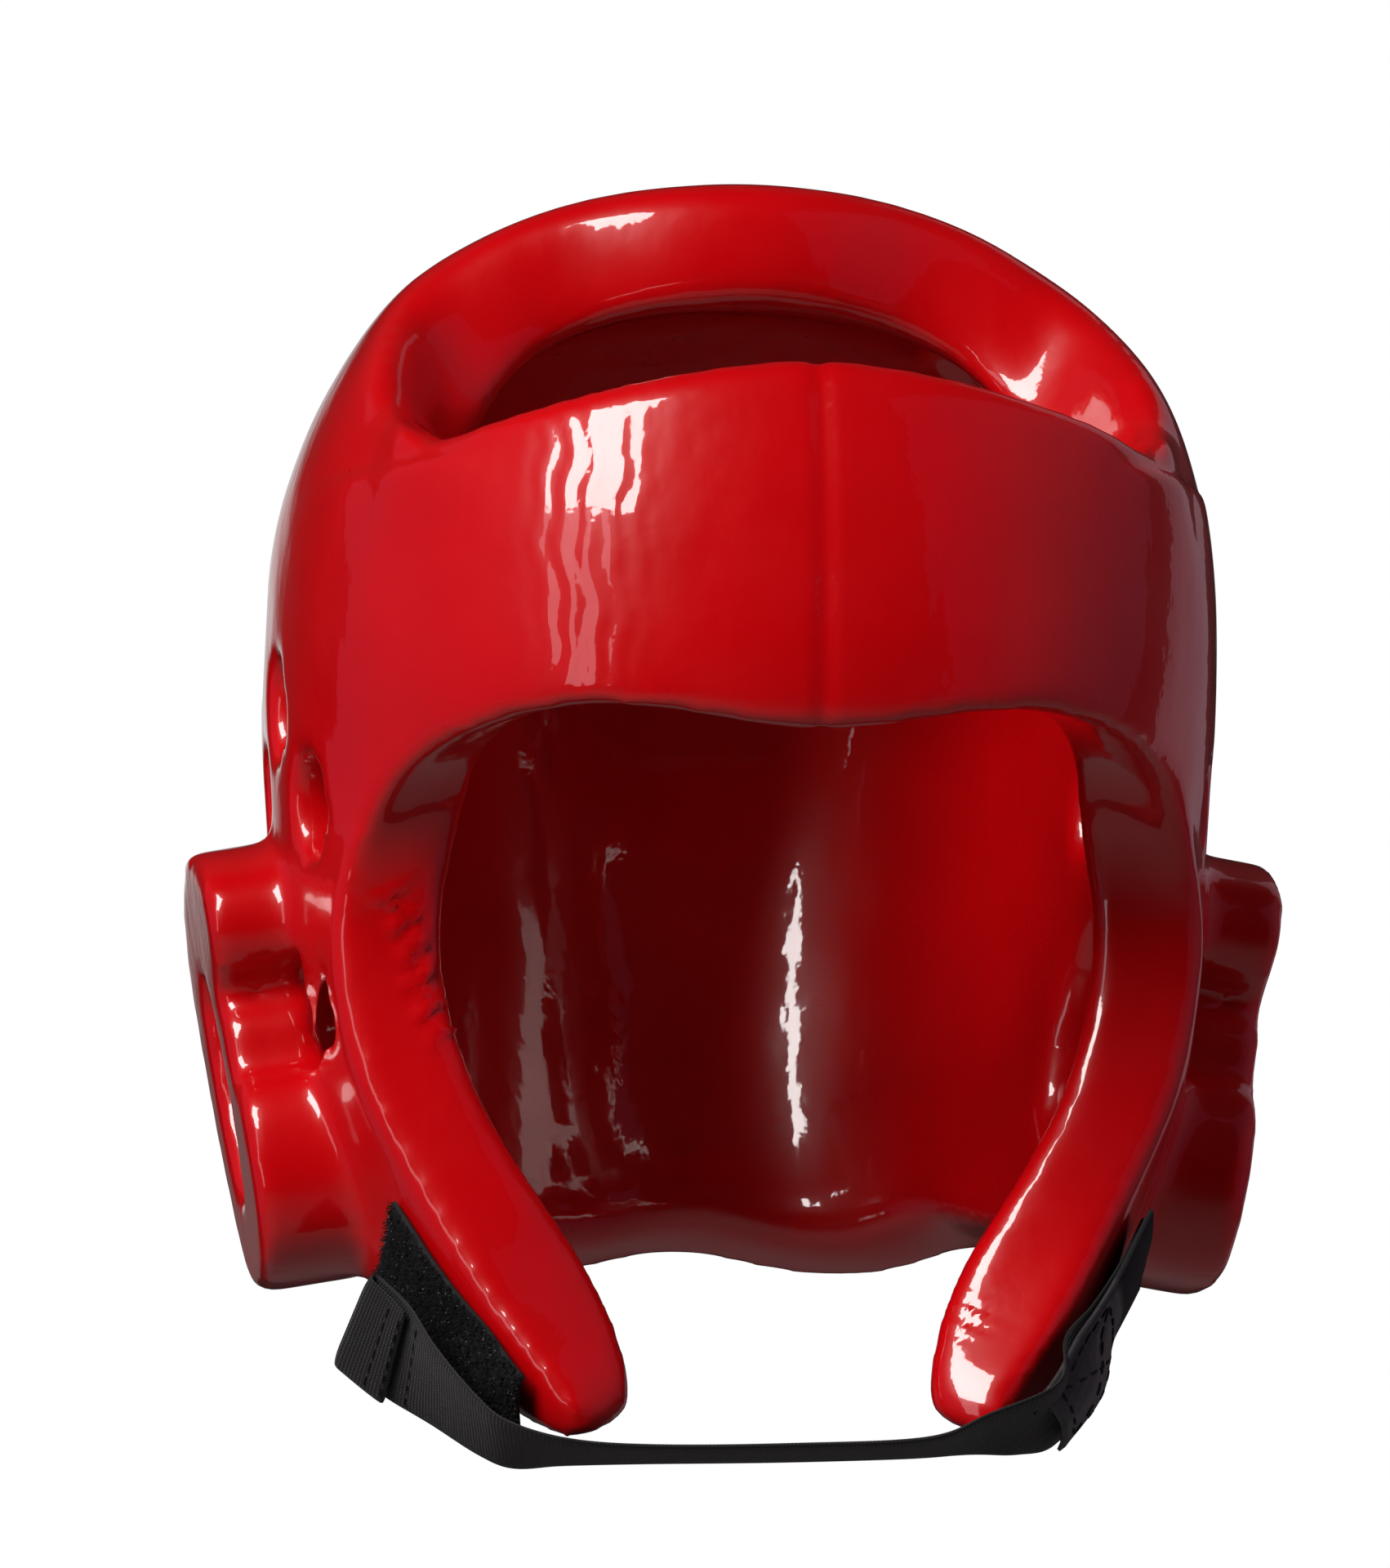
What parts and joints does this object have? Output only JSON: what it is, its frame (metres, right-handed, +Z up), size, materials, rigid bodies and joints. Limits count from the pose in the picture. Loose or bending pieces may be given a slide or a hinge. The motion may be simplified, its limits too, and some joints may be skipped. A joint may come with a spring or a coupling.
{
  "type": "foam head guard",
  "caption": "Red dipped-foam head guard with an open crown, an open face, raised ear guards, vents and a soft chin strap.",
  "frame": {"origin": "inside the top of the crown, where the hollow rests on the head", "axes": "+Z up, the face opening looks toward -Y, +X is the wearer's left"},
  "size_m": [0.2162, 0.2349, 0.2562],
  "materials": {
    "red_vinyl": "glossy dipped vinyl skin over closed-cell foam",
    "loop_fleece": "fuzzy loop side of a touch fastener",
    "webbing": "soft dull webbing",
    "stitched_vinyl": "grained vinyl with a stitched cross"
  },
  "bodies": {
    "root": {"shell": "red_vinyl", "ear_guard_right": "red_vinyl", "ear_guard_left": "red_vinyl", "loop_patch": "loop_fleece", "chin_strap": "webbing", "anchor_tab": "stitched_vinyl"}
  },
  "joints": []
}
